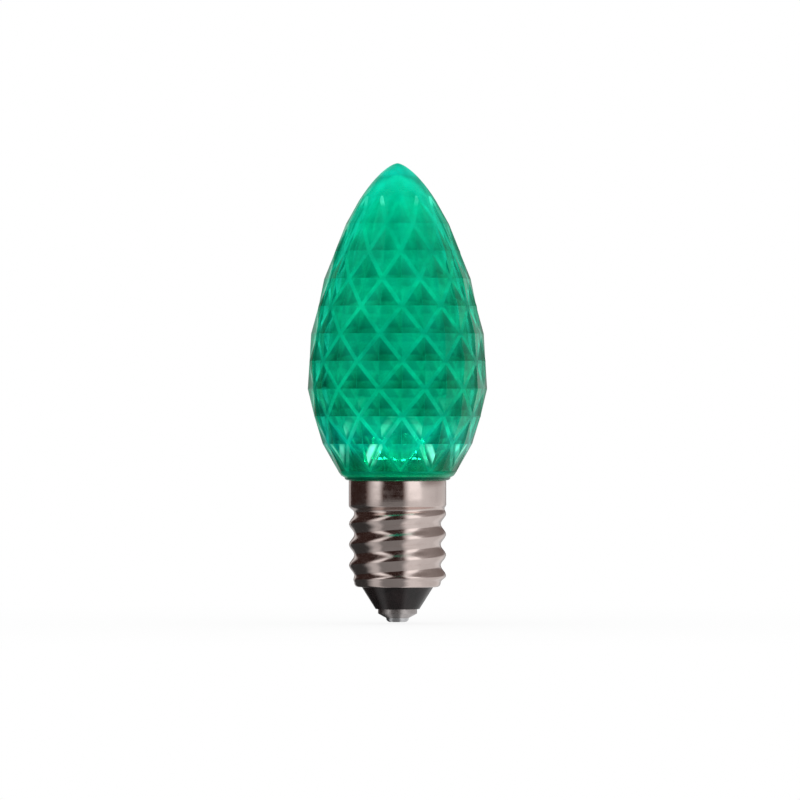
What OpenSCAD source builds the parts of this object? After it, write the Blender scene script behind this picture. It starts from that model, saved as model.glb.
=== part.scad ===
// Faceted LED christmas light bulb, size C7, with a screw base of size E12.
// Upright: +Z runs from the centre contact to the tip of the lens.
// The origin is on the axis, at the lowest point of the contact's solder. Lengths are in mm.

/* [Lens] */
// Height of the green lens above the metal collar
lens_h = 38.9; // [30:0.1:50]
// Widest diameter of the lens, over the facets
belly_d = 22.2; // [18:0.1:28]
// Height of the widest place above the lens foot
belly_z = 13.1; // [10:0.1:16]
// Diameter of the lens at its foot
foot_d = 13; // [12.6:0.1:15]
// Rounding of the foot's lower edge
foot_round = 0.35; // [0.1:0.05:0.6]
// Wall thickness of the lens under its facets
lens_wall = 1.2; // [0.8:0.1:1.8]
// Thickness of the lens at its tip
tip_wall = 2.2; // [1.5:0.1:4]
// How far the neck of the lens reaches down into the collar
neck_h = 2.6; // [2:0.1:2.8]
// Wall thickness of the neck
neck_wall = 1; // [0.8:0.1:1.2]

/* [Facets] */
// Diamonds in one turn round the lens
facets_around = 12; // [8:1:16]
// Bands of half a diamond each, from the foot to the tip
facet_bands = 10; // [6:2:14]
// Height of the plain band at the foot
foot_band_h = 1.1; // [0.8:0.1:2]
// Height of the smooth tip above the last facets
tip_smooth_h = 4.1; // [3:0.1:7]
// Height of each diamond's point over the net lines
facet_rise = 0.22; // [0.1:0.02:0.6]
// Bands over which the facets flatten out towards the tip
tip_fade_bands = 3; // [0.5:0.5:5]
// How far the plain foot band and the tip stand out over the edge of the facets
rim_step = 0.05; // [0.03:0.01:0.15]
// Width of the flat net lines between the diamonds
net_line_w = 0.5; // [0.2:0.05:0.8]
// Turn of the lattice about the axis, in degrees
lattice_turn = -12; // [-15:1:15]

/* [Screw shell] */
// Diameter over the thread's crests
thread_d = 11.89; // [11.6:0.01:12]
// Pitch of the right-hand thread
thread_pitch = 2.54; // [2.3:0.01:2.8]
// Depth of the rolled thread
thread_depth = 0.635; // [0.4:0.005:0.7]
// Height of the threaded stretch
thread_h = 10.1; // [9:0.1:12]
// Height over which the thread runs out at each end
thread_runout = 0.8; // [0.6:0.1:1.2]
// Turn of the thread about the axis, in degrees
thread_turn = 156; // [0:2:360]
// How far the collar and the lip stand out over the ends of the thread
shell_step = 0.04; // [0.03:0.01:0.08]
// Diameter of the plain collar
collar_d = 11.95; // [11.9:0.01:12.2]
// Height of the plain collar
collar_h = 3; // [2.9:0.1:5]
// Thickness of the sheet brass
shell_wall = 0.3; // [0.2:0.05:0.35]
// Diameter of the hole in the shell's inturned lip
lip_hole_d = 7.8; // [7:0.1:8.2]
// Outer bend radius of the lip
lip_bend = 0.5; // [0.4:0.05:0.6]

/* [Insulator and contact] */
// Height of the black cone below the shell
cone_h = 2.7; // [2:0.1:4]
// Diameter of the cone at the shell
cone_top_d = 8.8; // [8.4:0.1:9.4]
// Diameter of the cone at the contact
cone_low_d = 5.4; // [5.2:0.1:6.4]
// Height of the insulator's flange inside the shell
flange_h = 0.8; // [0.5:0.1:1.2]
// Thickness of the contact disc
contact_h = 1.1; // [0.6:0.1:1.6]
// Diameter of the contact disc
contact_d = 4.8; // [4:0.1:5.1]
// Outer diameter of the contact's hollow stem
stem_d = 1.9; // [1.6:0.1:2.2]
// Bore of the contact's stem
stem_bore_d = 1.1; // [0.9:0.05:1.2]
// Diameter of the riveted top of the stem
rivet_d = 3; // [2.6:0.1:3.4]
// Thickness of the riveted top
rivet_h = 0.25; // [0.2:0.05:0.4]
// Height of the solder below the contact disc
solder_h = 0.5; // [0.3:0.1:0.8]
// Diameter of the solder drop
solder_d = 2.8; // [2.4:0.1:3.6]
// Diameter of the flat land that the socket's contact touches
land_d = 1.8; // [1.2:0.1:2]

/* [Board] */
// Thickness of the circuit board
board_t = 0.8; // [0.6:0.1:1.2]
// Height of the board's top above the collar's rim
board_rise = 0.3; // [0:0.1:0.8]
// Wall thickness of the plastic carrier
carrier_wall = 0.8; // [0.6:0.05:1]
// Thickness of the carrier's flange under the neck
carrier_flange_h = 0.8; // [0.5:0.1:1]

/* [LEDs] */
// Number of LEDs on the board
led_count = 3; // [3:1:3]
// Diameter of an LED's body
led_d = 3; // [2.6:0.1:3.1]
// Diameter of an LED's foot flange
led_flange_d = 3.4; // [3.2:0.1:3.6]
// Thickness of an LED's foot flange
led_flange_h = 0.8; // [0.5:0.1:1.2]
// Height of an LED
led_h = 5.3; // [4:0.1:7]
// Distance of the LEDs from the axis
led_circle_r = 2.35; // [2.2:0.05:2.45]
// Side of an LED's square lead
led_lead_w = 0.5; // [0.4:0.05:0.6]
// Distance between an LED's two leads
led_lead_pitch = 2.54; // [2:0.01:2.6]
// How far a lead reaches into its LED
led_lead_in = 0.6; // [0.3:0.1:1]
// How far a lead reaches below the board
led_lead_out = 1.2; // [0.9:0.1:1.6]

/* [Electronics] */
// Distance of the resistor and of the diode from the axis
part_offset = 1.5; // [1.45:0.05:1.55]
// Diameter of the resistor's end caps
resistor_d = 2.3; // [1.8:0.1:2.5]
// Diameter of the resistor's waist
resistor_waist_d = 2; // [1.5:0.1:2.2]
// Length of the resistor's body
resistor_l = 5.6; // [4:0.1:5.8]
// Diameter of the diode's body
diode_d = 2.7; // [2:0.1:2.8]
// Length of the diode's body
diode_l = 5.2; // [4:0.1:5.6]
// Diameter of the component leads
lead_d = 0.6; // [0.4:0.05:0.7]
// Radius of a lead's bends
lead_bend_r = 0.7; // [0.65:0.05:0.8]
// Straight stretch of a lead below its component
lead_straight = 0.6; // [0.4:0.05:0.8]
// Drop from a component to the end of its slanted lead
lead_drop = 1.6; // [1.5:0.1:1.8]
// Distance of the live lead's end above the contact disc's underside
live_end_gap = 0.2; // [0.1:0.1:0.5]
// Distance from the board down to the components
part_drop = 2.7; // [2.2:0.1:3]
// Wall thickness of the insulating sleeve
sleeve_wall = 0.25; // [0.15:0.05:0.35]
// Diameter of the solder joints on the board
joint_d = 1.05; // [0.9:0.05:1.1]
// Height of the solder joints on the board
joint_h = 0.6; // [0.4:0.1:0.8]
// Diameter of the solder drop on the shell's inner wall
shell_joint_d = 1.1; // [0.9:0.05:1.3]

/* [Fits] */
// Gap between the lens neck and the collar, filled with cement
cement_gap = 0.35; // [0.25:0.05:0.45]
// Clearance between pieces that slide into each other
slip = 0.1; // [0.05:0.01:0.15]
// Clearance between pieces that are set in each other
seat = 0.02; // [0.01:0.01:0.04]

/* [Hidden] */
$fn = 64;

// Curve of the lens: how full it is above the belly, at the tip and below the belly
upper_power = 1.63;
tip_power = 0.66;
foot_power = 2.1;
// Steps of the smooth curves
curve_steps = 14;
bend_steps = 6;
// Points in one turn of the shell, and rows in one pitch of its thread
thread_sides = 40;
rows_per_pitch = 9;
// Sides of a bent lead
wire_sides = 16;

// Heights, from the contact up
contact_z = solder_h;
insulator_z = contact_z + contact_h;
shell_z = insulator_z + cone_h;
thread_z = shell_z + lip_bend;
collar_z = shell_z + thread_h;
lens_z = collar_z + collar_h;
neck_z = lens_z - neck_h;
board_top_z = lens_z + board_rise;
board_z = board_top_z - board_t;
flange_top_z = shell_z + shell_wall + flange_h;
rivet_top_z = flange_top_z + rivet_h;
part_top_z = board_z - part_drop;
resistor_z = part_top_z - resistor_l;
diode_z = part_top_z - diode_l;

// Radii that follow from the fits
collar_r = collar_d / 2;
collar_bore_r = collar_r - shell_wall;
neck_r = collar_bore_r - cement_gap;
neck_bore_r = neck_r - neck_wall;
root_r = thread_d / 2 - thread_depth;
root_bore_r = root_r - shell_wall;
carrier_r = neck_bore_r - slip;
carrier_bore_r = carrier_r - carrier_wall;
board_r = neck_bore_r - slip;

// Lattice of the lens: columns half a diamond apart and rings half a diamond apart
columns = 2 * facets_around;
column_turn = 360 / columns;
ring_step = (lens_h - tip_smooth_h - foot_band_h) / facet_bands;

// Electrical path: down from the resistor to the contact, and out from the diode to the shell
// The points of a lead are pairs of X and Z
lead_r = lead_d / 2;
live_end_z = contact_z + live_end_gap;
shell_joint_r = shell_joint_d / 2;
shell_joint_x = -(root_bore_r - shell_joint_r - 3 * seat);
live_path = [
    [part_offset, resistor_z],
    [part_offset, resistor_z - lead_straight],
    [0, resistor_z - lead_drop],
    [0, live_end_z]
];
neutral_path = [
    [-part_offset, diode_z],
    [-part_offset, diode_z - lead_straight],
    [shell_joint_x, diode_z - lead_drop]
];

// Smooth step from 0 to 1
function ramp(t) = t < 0 ? 0 : t > 1 ? 1 : t * t * (3 - 2 * t);

// Radius of a lens-shaped curve at height z, from its foot through its belly to its top
function bulb_r(z, belly_r, foot_r, top_z) =
    z < belly_z
        ? belly_r - (belly_r - foot_r) * pow((belly_z - z) / belly_z, foot_power)
        : belly_r * pow(max(0, 1 - pow((z - belly_z) / (top_z - belly_z), upper_power)), tip_power);

function lens_r(z) = bulb_r(z, belly_d / 2, foot_d / 2, lens_h);
function cavity_r(z) =
    bulb_r(z, belly_d / 2 - facet_rise - lens_wall, foot_d / 2 - lens_wall, lens_h - tip_wall);

// Heights between two levels that crowd together towards the upper one
function crowded(low, high, steps) = [for (i = [0:steps]) high - (high - low) * pow(1 - i / steps, 2)];

// Point of the lattice at ring k and column j, both of which may be fractions
function ring_z(k) = foot_band_h + ring_step * k;
function sink(k) = max(rim_step, facet_rise * ramp(2 * k) * ramp((facet_bands - k) / tip_fade_bands));
function point_sink(k) = k == 0 || k == facet_bands ? rim_step : 0;
function lattice_point(k, j, depth) =
    let (r = lens_r(ring_z(k)) - depth, a = lattice_turn + column_turn * j)
    [r * cos(a), r * sin(a), ring_z(k)];
function net_point(k, j) = lattice_point(k, j % columns, sink(k));
function diamond_point(k, j) = lattice_point(k, j, point_sink(k));

// How far a diamond's inner corners stand from its centre, as a share of its outer corners
function inner_share(k) =
    let (
        half_w = lens_r(ring_z(k)) * sin(column_turn),
        to_side = half_w * ring_step / norm([half_w, ring_step])
    )
    1 - net_line_w / 2 / to_side;

// Outer corners, inner corners and point of the diamond centred at ring k and column j
function corner_offsets() = [[1, 0], [0, 1], [-1, 0], [0, -1]];
function diamond(k, j) =
    let (share = inner_share(k))
    concat(
        [for (c = corner_offsets()) net_point(k + c[0], j + c[1] + columns)],
        [for (c = corner_offsets()) net_point(k + share * c[0], j + share * c[1] + columns)],
        [diamond_point(k, j)]
    );
function corner_inside(k, i) = k + corner_offsets()[i][0] >= 0 && k + corner_offsets()[i][0] <= facet_bands;
function diamond_faces(k, first) = [
    for (i = [0:3])
        let (n = (i + 1) % 4)
        if (corner_inside(k, i) && corner_inside(k, n))
            each [
                [first + i, first + n, first + 4 + n],
                [first + i, first + 4 + n, first + 4 + i],
                [first + 4 + i, first + 4 + n, first + 8]
            ]
];

// Rim of the lattice at its first or last ring, in the order of the columns
function rim(k) = [
    for (j = [0:columns - 1])
        each (
            (j + k) % 2 == 0
                ? [
                    net_point(k, j - inner_share(k) + columns),
                    diamond_point(k, j),
                    net_point(k, j + inner_share(k) + columns)
                ]
                : [net_point(k, j + columns)]
        )
];

module facet_band() {
    cells = [for (k = [0:facet_bands]) for (j = [0:columns - 1]) if ((j + k) % 2 == 0) [k, j]];
    low_rim = rim(0);
    high_rim = rim(facet_bands);
    cell_points = [for (c = cells) each diamond(c[0], c[1])];
    cell_faces = [for (i = [0:len(cells) - 1]) each diamond_faces(cells[i][0], 9 * i)];
    low_first = len(cell_points);
    high_first = low_first + len(low_rim);
    polyhedron(
        points = concat(cell_points, low_rim, high_rim),
        faces = concat(
            cell_faces,
            [[for (i = [0:len(low_rim) - 1]) low_first + i]],
            [[for (i = [len(high_rim) - 1:-1:0]) high_first + i]]
        )
    );
}

module lens_foot() {
    band = [
        for (i = [0:bend_steps])
            let (a = -90 + 90 * i / bend_steps)
            [foot_d / 2 - foot_round * (1 - cos(a)), foot_round * (1 + sin(a))]
    ];
    rotate_extrude()
        polygon(concat([[0, 0]], band, [[lens_r(foot_band_h), foot_band_h], [0, foot_band_h]]));
}

module lens_tip() {
    low = lens_h - tip_smooth_h;
    levels = crowded(low, lens_h, curve_steps);
    rotate_extrude()
        polygon(concat([[0, low]], [for (z = levels) [lens_r(z), z]]));
}

module lens_cavity() {
    step_up = board_rise + 2 * slip;
    levels = concat(
        [for (i = [0:curve_steps]) step_up + (belly_z - step_up) * i / curve_steps],
        [for (z = crowded(belly_z, lens_h - tip_wall, curve_steps)) if (z > belly_z) z]
    );
    rotate_extrude()
        polygon(concat(
            [[0, -neck_h - 1], [neck_bore_r, -neck_h - 1], [neck_bore_r, step_up]],
            [for (z = levels) [cavity_r(z), z]]
        ));
}

module lens() {
    color("mediumseagreen", 0.7)
        translate([0, 0, lens_z])
            difference() {
                union() {
                    lens_foot();
                    facet_band();
                    lens_tip();
                    translate([0, 0, -neck_h])
                        cylinder(r = neck_r, h = neck_h);
                }
                lens_cavity();
            }
}

// Outer radius of the shell at angle a and height z, between its lip and its collar
function thread_r(a, z) =
    thread_d / 2 - thread_depth / 2
    + thread_depth / 2 * cos(360 * (z - collar_z) / thread_pitch - a + thread_turn);
function shell_r(a, z) =
    let (
        low = ramp((z - thread_z) / thread_runout),
        high = ramp((z - collar_z + thread_runout) / thread_runout),
        body = root_r + low * (thread_r(a, z) - root_r)
    )
    body + high * (collar_r - shell_step - body);

module rolled_thread() {
    rows = ceil((collar_z - thread_z) / thread_pitch * rows_per_pitch);
    function row_z(i) = thread_z + (collar_z - thread_z) * i / rows;
    function at(side, i, j) = side * (rows + 1) * thread_sides + i * thread_sides + j % thread_sides;
    points = [
        for (side = [0, 1]) for (i = [0:rows]) for (j = [0:thread_sides - 1])
            let (a = 360 * j / thread_sides, r = shell_r(a, row_z(i)) - side * shell_wall)
            [r * cos(a), r * sin(a), row_z(i)]
    ];
    outer = [
        for (i = [0:rows - 1]) for (j = [0:thread_sides - 1])
            each [
                [at(0, i, j), at(0, i + 1, j), at(0, i + 1, j + 1)],
                [at(0, i, j), at(0, i + 1, j + 1), at(0, i, j + 1)]
            ]
    ];
    inner = [
        for (i = [0:rows - 1]) for (j = [0:thread_sides - 1])
            each [
                [at(1, i, j), at(1, i + 1, j + 1), at(1, i + 1, j)],
                [at(1, i, j), at(1, i, j + 1), at(1, i + 1, j + 1)]
            ]
    ];
    ends = [
        for (j = [0:thread_sides - 1])
            each [
                [at(0, 0, j), at(0, 0, j + 1), at(1, 0, j + 1), at(1, 0, j)],
                [at(0, rows, j), at(1, rows, j), at(1, rows, j + 1), at(0, rows, j + 1)]
            ]
    ];
    polyhedron(points = points, faces = concat(outer, inner, ends));
}

function lip_arc(r) = [
    for (i = [0:bend_steps])
        let (a = -90 * i / bend_steps)
        [root_r + shell_step - lip_bend + r * cos(a), thread_z + r * sin(a)]
];

module shell_lip() {
    inner_arc = lip_arc(lip_bend - shell_wall);
    rotate_extrude()
        polygon(concat(
            lip_arc(lip_bend),
            [[lip_hole_d / 2, shell_z], [lip_hole_d / 2, shell_z + shell_wall]],
            [for (i = [bend_steps:-1:0]) inner_arc[i]]
        ));
}

module collar() {
    translate([0, 0, collar_z])
        difference() {
            cylinder(r = collar_r, h = collar_h);
            translate([0, 0, -1])
                cylinder(r = collar_bore_r, h = collar_h + 2);
        }
}

module screw_shell() {
    color("silver") {
        collar();
        rolled_thread();
        shell_lip();
    }
}

module insulator() {
    waist_r = lip_hole_d / 2 - seat;
    flange_r = root_bore_r - 2 * slip;
    color([0.08, 0.05, 0.05])
        difference() {
            union() {
                translate([0, 0, insulator_z])
                    cylinder(r1 = cone_low_d / 2, r2 = cone_top_d / 2, h = cone_h);
                translate([0, 0, shell_z])
                    cylinder(r = waist_r, h = shell_wall);
                translate([0, 0, shell_z + shell_wall])
                    intersection() {
                        cylinder(r = flange_r, h = flange_h);
                        cylinder(r1 = waist_r + slip, r2 = flange_r + slip, h = lip_bend + slip);
                    }
                translate([0, 0, shell_z + lip_bend])
                    cylinder(r = flange_r, h = flange_top_z - shell_z - lip_bend);
            }
            translate([0, 0, insulator_z - 1])
                cylinder(d = stem_d + 2 * seat, h = flange_top_z - insulator_z + 2);
        }
}

module centre_contact() {
    color("lightgray")
        translate([0, 0, contact_z])
            difference() {
                union() {
                    rotate_extrude()
                        polygon([
                            [0, 0], [solder_d / 2, 0], [contact_d / 2, contact_h / 2],
                            [contact_d / 2, contact_h], [0, contact_h]
                        ]);
                    cylinder(d = stem_d, h = flange_top_z - contact_z);
                    translate([0, 0, flange_top_z - contact_z])
                        cylinder(d = rivet_d, h = rivet_h);
                }
                translate([0, 0, -1])
                    cylinder(d = stem_bore_d, h = rivet_top_z - contact_z + 2);
            }
}

module contact_solder() {
    plug_h = contact_h;
    drop = [
        for (i = [0:bend_steps])
            let (a = 90 * i / bend_steps)
            [land_d / 2 + (solder_d - land_d) / 2 * sin(a), solder_h * (1 - cos(a))]
    ];
    color("gainsboro")
        difference() {
            union() {
                rotate_extrude()
                    polygon(concat([[0, 0]], drop, [[0, solder_h]]));
                translate([0, 0, solder_h])
                    cylinder(d = stem_bore_d - 2 * seat, h = plug_h);
            }
            translate([0, 0, live_end_z - seat])
                cylinder(r = lead_r + seat, h = solder_h + plug_h);
        }
}

module cap_cement() {
    color("beige")
        translate([0, 0, neck_z + slip])
            difference() {
                cylinder(r = collar_bore_r - seat, h = neck_h - 2 * slip);
                translate([0, 0, -1])
                    cylinder(r = neck_r + seat, h = neck_h + 2);
            }
}

module board_carrier() {
    color("white")
        difference() {
            union() {
                translate([0, 0, neck_z - carrier_flange_h])
                    cylinder(r = root_bore_r - slip, h = carrier_flange_h);
                translate([0, 0, neck_z])
                    cylinder(r = carrier_r, h = board_z - neck_z);
            }
            translate([0, 0, neck_z - carrier_flange_h - 1])
                cylinder(r = carrier_bore_r, h = board_z - neck_z + carrier_flange_h + 2);
        }
}

// Copies its children at each LED's place, with the LED's leads along X
module at_led(i) {
    rotate([0, 0, 90 + i * 360 / led_count])
        translate([led_circle_r, 0, 0])
            rotate([0, 0, 90])
                children();
}

module lead_places() {
    for (side = [-1, 1])
        translate([side * led_lead_pitch / 2, 0, 0])
            children();
}

module led_board() {
    hole_d = led_lead_w * sqrt(2) + 2 * seat;
    color("whitesmoke")
        translate([0, 0, board_z])
            difference() {
                cylinder(r = board_r, h = board_t);
                translate([0, 0, -1]) {
                    for (i = [0:led_count - 1])
                        at_led(i)
                            lead_places()
                                cylinder(d = hole_d, h = board_t + 2);
                    for (side = [-1, 1])
                        translate([side * part_offset, 0, 0])
                            cylinder(d = lead_d + 2 * seat, h = board_t + 2);
                }
            }
}

module led_body(i) {
    dome_r = led_d / 2;
    socket_w = led_lead_w + 2 * seat;
    color("limegreen", 0.8)
        translate([0, 0, board_top_z])
            at_led(i)
                difference() {
                    union() {
                        cylinder(d = led_flange_d, h = led_flange_h);
                        cylinder(r = dome_r, h = led_h - dome_r);
                        translate([0, 0, led_h - dome_r])
                            sphere(r = dome_r);
                    }
                    lead_places()
                        translate([-socket_w / 2, -socket_w / 2, -1])
                            cube([socket_w, socket_w, led_lead_in + seat + 1]);
                }
}

module led_leads(i) {
    low_z = board_z - led_lead_out;
    color("silver")
        at_led(i)
            lead_places()
                translate([-led_lead_w / 2, -led_lead_w / 2, low_z])
                    cube([led_lead_w, led_lead_w, board_top_z + led_lead_in - low_z]);
}

module joint_cone(hole_d) {
    difference() {
        translate([0, 0, -joint_h])
            cylinder(d1 = hole_d + 0.16, d2 = joint_d, h = joint_h);
        translate([0, 0, -joint_h - 1])
            cylinder(d = hole_d, h = joint_h + 2);
    }
}

module board_solder() {
    color("gainsboro")
        translate([0, 0, board_z]) {
            for (i = [0:led_count - 1])
                at_led(i)
                    lead_places()
                        joint_cone(led_lead_w * sqrt(2) + 2 * seat);
            for (side = [-1, 1])
                translate([side * part_offset, 0, 0])
                    joint_cone(lead_d + 2 * seat);
        }
}

// Path in the XZ plane whose inner corners are rounded to the leads' bend radius
function heading(a, b) = atan2(b[1] - a[1], b[0] - a[0]);
function half_turn(angle) = angle > 180 ? angle - 360 : angle < -180 ? angle + 360 : angle;
function corner(a, p, b) =
    let (
        from = heading(a, p),
        bend = half_turn(heading(p, b) - from),
        side = sign(bend),
        start = p - lead_bend_r * tan(abs(bend) / 2) * [cos(from), sin(from)],
        centre = start + side * lead_bend_r * [-sin(from), cos(from)]
    )
    [
        for (i = [0:bend_steps])
            let (t = from - 90 * side + bend * i / bend_steps)
            centre + lead_bend_r * [cos(t), sin(t)]
    ];
function rounded(path) =
    let (last = len(path) - 1)
    concat(
        [path[0]],
        [for (i = [1:1:last - 1]) each corner(path[i - 1], path[i], path[i + 1])],
        [path[last]]
    );

// Wire of radius r along a path in the XZ plane
module wire(path, r) {
    route = rounded(path);
    last = len(route) - 1;
    points = [
        for (i = [0:last])
            let (h = heading(route[max(0, i - 1)], route[min(last, i + 1)]))
            for (j = [0:wire_sides - 1])
                let (t = 360 * j / wire_sides)
                [route[i][0] - r * cos(t) * sin(h), r * sin(t), route[i][1] + r * cos(t) * cos(h)]
    ];
    walls = [
        for (i = [0:last - 1]) for (j = [0:wire_sides - 1])
            let (n = (j + 1) % wire_sides, low = i * wire_sides, high = low + wire_sides)
            each [[low + j, low + n, high + n], [low + j, high + n, high + j]]
    ];
    ends = [
        [for (j = [wire_sides - 1:-1:0]) j],
        [for (j = [0:wire_sides - 1]) last * wire_sides + j]
    ];
    polyhedron(points = points, faces = concat(walls, ends));
}

// Upper lead of a component, from its top through the board
module board_lead(x) {
    translate([x, 0, part_top_z])
        cylinder(r = lead_r, h = board_top_z - part_top_z);
}

module resistor() {
    cap_l = resistor_l / 4;
    color("tan")
        translate([part_offset, 0, resistor_z]) {
            cylinder(d = resistor_waist_d, h = resistor_l);
            cylinder(d = resistor_d, h = cap_l);
            translate([0, 0, resistor_l - cap_l])
                cylinder(d = resistor_d, h = cap_l);
        }
}

module resistor_leads() {
    color("silver") {
        wire(live_path, lead_r);
        board_lead(part_offset);
    }
}

module live_sleeve() {
    sleeve_path = [live_path[0] - [0, seat], live_path[1], live_path[2], [0, rivet_top_z]];
    lead_path = [live_path[0] + [0, 1], live_path[1], live_path[2], live_path[3]];
    color("ivory")
        difference() {
            wire(sleeve_path, lead_r + seat + sleeve_wall);
            wire(lead_path, lead_r + seat);
        }
}

module diode() {
    color("dimgray")
        translate([-part_offset, 0, diode_z])
            cylinder(d = diode_d, h = diode_l);
}

module diode_leads() {
    color("silver") {
        wire(neutral_path, lead_r);
        board_lead(-part_offset);
    }
}

module shell_solder() {
    color("gainsboro")
        difference() {
            translate([shell_joint_x, 0, diode_z - lead_drop])
                sphere(r = shell_joint_r);
            wire(neutral_path, lead_r + seat);
        }
}

lens();
screw_shell();
insulator();
centre_contact();
contact_solder();
cap_cement();
board_carrier();
led_board();
led_body(0);  // led_1
led_body(1);  // led_2
led_body(2);  // led_3
led_leads(0);  // led_leads_1
led_leads(1);  // led_leads_2
led_leads(2);  // led_leads_3
board_solder();
resistor();
resistor_leads();
live_sleeve();
diode();
diode_leads();
shell_solder();
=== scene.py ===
import math

import bmesh
import bpy
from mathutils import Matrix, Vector


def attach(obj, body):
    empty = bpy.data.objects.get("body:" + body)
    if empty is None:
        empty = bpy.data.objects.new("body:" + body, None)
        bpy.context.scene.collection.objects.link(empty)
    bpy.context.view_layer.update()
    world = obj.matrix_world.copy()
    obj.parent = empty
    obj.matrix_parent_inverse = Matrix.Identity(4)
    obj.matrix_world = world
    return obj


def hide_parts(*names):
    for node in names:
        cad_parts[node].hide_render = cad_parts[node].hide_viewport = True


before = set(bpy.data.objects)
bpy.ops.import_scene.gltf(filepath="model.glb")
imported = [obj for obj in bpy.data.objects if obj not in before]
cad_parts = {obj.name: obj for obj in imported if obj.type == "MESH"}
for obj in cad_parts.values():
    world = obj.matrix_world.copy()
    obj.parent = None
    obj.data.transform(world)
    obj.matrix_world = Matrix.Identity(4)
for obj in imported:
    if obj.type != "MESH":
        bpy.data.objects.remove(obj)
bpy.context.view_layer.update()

MM = 0.001
# Radii below this, in millimetres, are on the axis
ON_AXIS_R = 1e-6

# Lens, in millimetres above the collar's rim, with the same values as the CAD model
LENS_H = 38.9
BELLY_R = 11.1
BELLY_Z = 13.1
FOOT_R = 6.5
FOOT_ROUND = 0.35
LENS_WALL = 1.2
TIP_WALL = 2.2
NECK_H = 2.6
NECK_R = 5.325
NECK_BORE_R = 4.325
CAVITY_FOOT_Z = 0.5
CAVITY_TOP_Z = LENS_H - TIP_WALL
UPPER_POWER = 1.63
TIP_POWER = 0.66
FOOT_POWER = 2.1

# Facets of the lens: diamonds whose corners lie on columns and rings half a diamond apart
FACETS_AROUND = 12
FACET_BANDS = 10
FOOT_BAND_H = 1.1
TIP_SMOOTH_H = 4.1
FACET_RISE = 0.22
TIP_FADE_BANDS = 3
RIM_STEP = 0.015
NET_LINE_W = 0.5
LATTICE_TURN = -12.0
EDGE_ROUND = 0.06
COLUMNS = 2 * FACETS_AROUND
COLUMN_TURN = 360 / COLUMNS
RING_STEP = (LENS_H - TIP_SMOOTH_H - FOOT_BAND_H) / FACET_BANDS

# Steps of the lens's mesh, and the digits that tell two of its lattice places apart
ARCS_PER_RIM_EDGE = 3
TIP_RINGS = 16
CAVITY_RINGS = 40
FOOT_ROUND_STEPS = 4
PLACE_DIGITS = 5

# Painted light and shade, as the share of the inner light that each kind of face shows: the net's
# webs, the ridges, the facets below and above a point, a facet's side at the net, the smooth parts
# and the tip
WEB_LIGHT = 0.5
RIDGE_LIGHT = 0.4
LOWER_LIGHT = 0.3
UPPER_LIGHT = 0.05
NET_SIDE_LIGHT = 0.33
SMOOTH_LIGHT = 0.3
TIP_LIGHT = 0.35
# Only faces with less painted light than this get painted shade towards the net; the tip has just
# as much
NET_SHADED_BELOW = RIDGE_LIGHT - 0.05
# The bands up to here, nearest the LEDs, have the strongest painted light and shade
LOW_BANDS = 5
LOW_WEB_LIGHT = 0.62
LOW_UPPER_LIGHT = -0.05
# Painted glints: how brightly a facet glints where its edge rises away from the nearest LED, by the
# ring of that edge's upper corner, and the share of that on the web beside it
GLINTS = {1: 2.0, 2: 0.5, 3: 0.2}
WEB_GLINT = 0.2
# Painted glint of the webs under the tip whose edge doesn't rise away from an LED
TIP_GLINT = 0.4
# Facets straight in front of an LED, within these degrees, get less painted glint by this factor
LED_FRONT = 15
LED_FRONT_GLINT = 0.4

# Screw shell, in millimetres above the contact
THREAD_R = 5.945
THREAD_PITCH = 2.54
THREAD_DEPTH = 0.635
THREAD_RUNOUT = 0.8
THREAD_TURN = 156.0
ROOT_R = THREAD_R - THREAD_DEPTH
COLLAR_R = 5.975
COLLAR_H = 3.0
COLLAR_EDGE = 0.08
# Shares of that edge's width and of the collar's height at which the mesh has a ring
COLLAR_EDGE_MID = 0.3
COLLAR_LEVELS = (0.3, 0.6, 1.0)
SHELL_WALL = 0.3
LIP_HOLE_R = 3.9
LIP_BEND = 0.5
LIP_BEND_STEPS = 6
SHELL_Z = 4.3
SHEET_LOW_Z = SHELL_Z + LIP_BEND
COLLAR_Z = 14.4
LENS_Z = 17.4
SHELL_SIDES = 144
SHELL_ROWS = 110

# Inside each LED: outlines across and up, and turned profiles, in millimetres
LEDS = (1, 2, 3)
LED_CIRCLE_R = 2.35
LED_TURN = 90.0
LED_SPREAD = 120
LED_SIDES = 24
LED_SHEET = 0.4
ANVIL = [
    (-1.4, 17.85), (-1.0, 17.85), (-1.0, 18.7), (-0.2, 19.2), (0.45, 19.3), (0.45, 19.55),
    (-0.75, 19.55), (-1.4, 19.1),
]
POST = [
    (1.0, 17.85), (1.4, 17.85), (1.4, 19.5), (1.15, 19.95), (0.75, 19.95), (0.75, 19.75),
    (1.0, 19.45),
]
CUP = [(0, 19.5), (0.5, 19.5), (0.62, 20.0), (0.58, 20.05), (0.54, 20.0), (0.32, 19.68), (0, 19.68)]
DIE = [(0, 19.7), (0.28, 19.7), (0.5, 19.98), (0.42, 20.15), (0.2, 20.28), (0, 20.32)]
# Bond wire: its start, how far its end lies across and up, its arch, its radius, the lean of
# its sections, and its steps
BOND_Z = 20.2
BOND_TO = (0.95, -0.3)
BOND_RISE = 0.35
BOND_R = 0.03
BOND_LEAN = 0.3
BOND_STEPS = 8
BOND_SIDES = 6

# Camera, from the photograph's frame
PHOTO_PX = 800
MM_PER_PX = 0.1227
AXIS_X_PX = 397.5
CONTACT_Y_PX = 622.0
CAMERA_DISTANCE = 1.0
SENSOR_MM = 36.0

# Floor, in metres, its own colour, and how white the camera sees it under the bulb
FLOOR_R = 0.2
FLOOR_SIDES = 96
FLOOR_DROP = 0.0002
FLOOR_GREY = (0.9, 0.9, 0.9, 1)
FLOOR_WHITE = 0.85

# Colour sockets of a Mix node
MIX_A, MIX_B, MIX_RESULT = 6, 7, 2
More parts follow.
